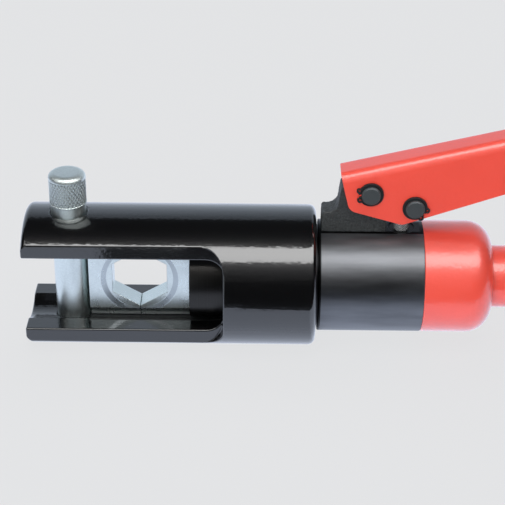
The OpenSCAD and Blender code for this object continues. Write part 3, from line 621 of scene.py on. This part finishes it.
def make_locking_pin():
    """Plated pin: rounded tip, plain shank, diamond-knurled knob and rounded crown."""
    low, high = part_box("locking_pin")
    knob_step = 0.45 * MM
    knob_r = (high.x - low.x) / 2
    pin_r = knob_r - knob_step
    tip_round = 1.6 * MM
    crown_h, crown_round = 2.4 * MM, 3.2 * MM
    knurl_len, knurl_depth = 12.6 * MM, 0.46 * MM
    knurl_top = high.z - crown_h
    knurl_foot = knurl_top - knurl_len
    rim = 0.35 * MM
    shank_rims = (3, 1.0, 0.9)
    diamonds_round, diamond_h = 32, 2.7 * MM
    rows, steps_in_diamond = 72, 10

    def knurl(angle, height):
        if not knurl_foot + rim < height < knurl_top - rim:
            return 0.0
        turn = angle * diamonds_round / (2 * math.pi)
        rise = (height - knurl_foot) / diamond_h
        grooves = (abs(2 * ((turn + lead * rise) % 1.0) - 1.0) for lead in (1, -1))
        return knurl_depth * (1.0 - min(grooves))

    tip_top = low.z + tip_round
    tip = [(r, tip_top - rise) for r, rise in reversed(quarter_round(pin_r, 0.0, tip_round, tip_round))]
    shank = [(pin_r, knurl_foot - share * rim) for share in shank_rims]
    band = [(knob_r, knurl_foot + knurl_len * i / rows) for i in range(rows + 1)]
    crown = quarter_round(knob_r, knurl_top, crown_round, crown_h)
    around = diamonds_round * steps_in_diamond
    piece = spin_up("locking_pin_knurled", tip + shank + band + crown, around, pin_middle, knurl)
    return stand_for(piece, "locking_pin")


def make_casting():
    """The fulcrum bracket as a sand casting: softened corners and an uneven skin."""
    mesh = mesh_of(joined_surface("fulcrum_bracket"), "fulcrum_bracket_cast")
    piece = new_object("fulcrum_bracket_cast", mesh)
    skin = piece.modifiers.new("skin", "REMESH")
    skin.mode = "VOXEL"
    skin.voxel_size = 0.4 * MM
    skin.use_smooth_shade = True
    soften = piece.modifiers.new("soft corners", "SMOOTH")
    soften.factor = 0.5
    soften.iterations = 6
    sand = bpy.data.textures.new("sand", "CLOUDS")
    sand.noise_scale = 1.4 * MM
    sand.noise_depth = 3
    rough = piece.modifiers.new("sand", "DISPLACE")
    rough.texture = sand
    rough.strength = 0.4 * MM
    rough.mid_level = 0.6
    return stand_for(piece, "fulcrum_bracket")


make_locking_pin()
make_casting()

# Studio: the floor, what polished faces mirror, the surround and the lamps

PALE = (0.765, 0.772, 0.785)
WHITE = (1.0, 1.0, 1.0)
floor_z = cad_low.z
FLOOR_HALF = 6.0
FLOOR_TONE = 0.94

KEY_AIM = Vector((0.03, 0.0, 0.0))
KEY_ELEVATION, KEY_DISTANCE, KEY_HALF_ANGLE = 61.3, 1.2, 13.5
KEY_LIGHT, KEY_GLOW = 3.2, 4.9
KEY_WIDTH, KEY_HEIGHT = 0.64, 2 * KEY_DISTANCE * math.tan(math.radians(KEY_HALF_ANGLE))
# Name, side and share of the key's glow, and the far corners from the aim, low one first
KEY_WINGS = (("key_wing_left", -1, 0.5), ("key_wing_right", 1, 1.0))
WING_CORNERS = ((0.825, -0.42, 0.56), (0.785, -0.02, 0.78))

# Name, elevation, azimuth, distance, width, height and radiance; azimuth 0 is the viewer's side
LAMPS = (
    ("key", KEY_ELEVATION, 0.0, KEY_DISTANCE, KEY_WIDTH, KEY_HEIGHT, KEY_LIGHT),
    ("front_fill", 14.0, -18.0, 1.6, 1.0, 0.7, 5.15),
    ("back_fill", 60.0, 170.0, 1.6, 1.2, 0.9, 2.0),
)
WATTS_PER_RADIANCE = 4
AMBIENT_COLOUR, AMBIENT_LIGHT = (0.96, 0.98, 1.0), 0.46
ROOM_COLOUR, ROOM_GLOW = (0.9, 0.95, 1.0), 0.02

CARD_HALF, CARD_DEPTH = 1.6, 1.0
CARD_SINK = 0.2 * MM
TABLE_COLOUR = (0.8, 0.88, 1.06)
# Name, x from and to, nearest y and glow of each strip of the mirrored table top
TABLE_STRIPS = (
    ("table_left", -CARD_HALF, -0.0262, -0.16, 1.0), ("table_middle", -0.0262, 0.045, -0.102, 1.0),
    ("table_right", 0.045, 0.085, -0.089, 1.0), ("table_end", 0.085, CARD_HALF, -0.089, 1.25),
)
WALL_COLOUR, WALL_FOOT, WALL_TOP, WALL_ANGLE = (0.8, 0.91, 1.06), 0.93, 0.32, 52
FRONT_COLOUR, FRONT_FOOT, FRONT_TOP, FRONT_ANGLES = (0.97, 0.98, 1.0), -0.1, 0.4, (15, 48)
KNOB_COLOUR, KNOB_GLOW = (0.86, 0.93, 1.0), 0.75
KNOB_CARD_X, KNOB_CARD_Y, KNOB_CARD_Z = (-0.085, 0.02), -0.07, (-0.002, 0.03)


def outward(elevation, azimuth=0.0):
    """The direction from the tool at angles in degrees; azimuth 0 is the viewer's side."""
    e, a = math.radians(elevation), math.radians(azimuth)
    return Vector((math.sin(a) * math.cos(e), -math.cos(a) * math.cos(e), math.sin(e)))


def rise_at(angle):
    """How high a card at its depth reaches at an angle from the tool."""
    return CARD_DEPTH * math.tan(math.radians(angle))


def blank_material(name):
    material = bpy.data.materials.new(name)
    material.use_nodes = True
    material.node_tree.nodes.clear()
    return material, material.node_tree


def show_glow(tree, colour, strength):
    glow = add(tree, "ShaderNodeEmission", Color=(*colour, 1.0), Strength=strength)
    add(tree, "ShaderNodeOutputMaterial", Surface=glow.outputs["Emission"])


def glowing_material(name, colour, strength):
    material, tree = blank_material(name)
    show_glow(tree, colour, strength)
    return material


def fading_material(name, colour, foot, top, height):
    """A glow that changes from the level of the tool's axis up to a height."""
    material, tree = blank_material(name)
    position = add(tree, "ShaderNodeNewGeometry").outputs["Position"]
    level = add(tree, "ShaderNodeSeparateXYZ", Vector=position).outputs["Z"]
    show_glow(tree, colour, ranged(tree, level, 0.0, height, foot, top))
    return material


def card(name, corners, material):
    """A flat stage card given by its four corners."""
    mesh = bpy.data.meshes.new(name)
    mesh.from_pydata(corners, [], [(0, 1, 2, 3)])
    mesh.materials.append(material)
    made = new_object(name, mesh)
    return made


def flat_card(name, x_range, y_range, height, material):
    """A level card over ranges of x and y."""
    (x0, x1), (y0, y1) = x_range, y_range
    return card(name, [(x0, y0, height), (x1, y0, height), (x1, y1, height), (x0, y1, height)], material)


def upright_card(name, x_range, y, z_range, material):
    """A card that stands along the tool."""
    (x0, x1), (z0, z1) = x_range, z_range
    return card(name, [(x0, y, z0), (x1, y, z0), (x1, y, z1), (x0, y, z1)], material)


def make_floor():
    """A pale floor that holds its tone for the camera and still takes a soft shadow."""
    material, tree = blank_material("floor")
    cloth = add(tree, "ShaderNodeBsdfDiffuse", Color=(*PALE, 1.0))
    tone = add(tree, "ShaderNodeEmission", Color=(*PALE, 1.0))
    seen = add(tree, "ShaderNodeLightPath").outputs["Is Camera Ray"]
    both = blended(tree, math_of(tree, "MULTIPLY", seen, FLOOR_TONE), cloth, tone)
    add(tree, "ShaderNodeOutputMaterial", Surface=both.outputs["Shader"])
    reach = (-FLOOR_HALF, FLOOR_HALF)
    flat_card("floor", reach, reach, floor_z, material).visible_glossy = False


def make_key_cards():
    """The key's face as polished surfaces mirror it, with a wing each side for shoulders that face away."""
    centre = KEY_AIM + KEY_DISTANCE * outward(KEY_ELEVATION)
    half_w = KEY_WIDTH / 2 * Vector(ALONG_X)
    half_h = KEY_HEIGHT / 2 * outward(KEY_ELEVATION + 90)
    left, right = centre - half_w, centre + half_w
    face = [left - half_h, right - half_h, right + half_h, left + half_h]
    made = [card("key_face", face, glowing_material("key_face", WHITE, KEY_GLOW))]
    for name, side, share in KEY_WINGS:
        edge = centre + side * half_w
        far_low, far_high = (KEY_AIM + Vector((side * x, y, z)) for x, y, z in WING_CORNERS)
        wing = glowing_material(name, WHITE, share * KEY_GLOW)
        made.append(card(name, [edge - half_h, far_low, far_high, edge + half_h], wing))
    return made


def make_reflections():
    """The pale table top, backdrop, reflectors and key that polished faces mirror, and nothing else sees."""
    across, low = (-CARD_HALF, CARD_HALF), floor_z - CARD_SINK
    made = make_key_cards()
    for name, x0, x1, front, strength in TABLE_STRIPS:
        pale = glowing_material(name, TABLE_COLOUR, strength)
        made.append(flat_card(name, (x0, x1), (front, CARD_DEPTH), low, pale))
    wall_rise = rise_at(WALL_ANGLE)
    wall = fading_material("wall card", WALL_COLOUR, WALL_FOOT, WALL_TOP, wall_rise)
    made.append(upright_card("wall_card", across, CARD_DEPTH, (low, wall_rise), wall))
    front_low, front_high = (rise_at(angle) for angle in FRONT_ANGLES)
    glow = fading_material("front glow card", FRONT_COLOUR, FRONT_FOOT, FRONT_TOP, front_high)
    made.append(upright_card("front_glow_card", across, -CARD_DEPTH, (front_low, front_high), glow))
    knob_light = glowing_material("knob card", KNOB_COLOUR, KNOB_GLOW)
    made.append(upright_card("knob_card", KNOB_CARD_X, KNOB_CARD_Y, KNOB_CARD_Z, knob_light))
    for one in made:
        for ray in ("camera", "diffuse", "shadow", "transmission", "volume_scatter"):
            setattr(one, "visible_" + ray, False)


def make_world():
    """A pale surround for the camera, soft ambient light, and a dark room for reflections."""
    world = bpy.data.worlds.new("studio")
    bpy.context.scene.world = world
    world.use_nodes = True
    tree = world.node_tree
    tree.nodes.clear()
    path = add(tree, "ShaderNodeLightPath").outputs
    ambient, dark, pale = (
        add(tree, "ShaderNodeBackground", Color=(*colour, 1.0), Strength=strength)
        for colour, strength in ((AMBIENT_COLOUR, AMBIENT_LIGHT), (ROOM_COLOUR, ROOM_GLOW), (PALE, 1.0))
    )
    lit = blended(tree, path["Is Glossy Ray"], ambient, dark)
    shown = blended(tree, path["Is Camera Ray"], lit, pale)
    add(tree, "ShaderNodeOutputWorld", Surface=shown.outputs[0])


def soft_box(name, elevation, azimuth, distance, width, height, radiance):
    """A rectangular lamp that faces the key's aim and is neither mirrored nor seen."""
    lamp = bpy.data.lights.new(name, "AREA")
    lamp.shape = "RECTANGLE"
    lamp.size, lamp.size_y = width, height
    lamp.energy = WATTS_PER_RADIANCE * width * height * radiance
    made = new_object(name, lamp)
    away = outward(elevation, azimuth)
    made.location = KEY_AIM + away * distance
    made.rotation_euler = away.to_track_quat("Z", "Y").to_euler()
    made.visible_glossy = False
    made.visible_camera = False


make_floor()
make_reflections()
make_world()
for lamp_values in LAMPS:
    soft_box(*lamp_values)

# Camera, at the photograph's angle

CAMERA_AIM = Vector((0.05196, 0.0052, 0.0083))
CAMERA_DISTANCE = 0.7195
CAMERA_ELEVATION, CAMERA_AZIMUTH, CAMERA_ROLL = 29.30, 0.28, 0.43
FOCAL_LENGTH, SENSOR_WIDTH = 110.35, 36.0


def make_camera():
    lens = bpy.data.cameras.new("camera")
    lens.lens = FOCAL_LENGTH
    lens.sensor_width = SENSOR_WIDTH
    made = new_object("camera", lens)
    back = outward(CAMERA_ELEVATION, CAMERA_AZIMUTH)
    turn = back.to_track_quat("Z", "Y").to_matrix() @ Matrix.Rotation(math.radians(CAMERA_ROLL), 3, "Z")
    made.matrix_world = Matrix.Translation(CAMERA_AIM + back * CAMERA_DISTANCE) @ turn.to_4x4()
    bpy.context.scene.camera = made


make_camera()
bpy.context.scene.view_settings.view_transform = "Standard"
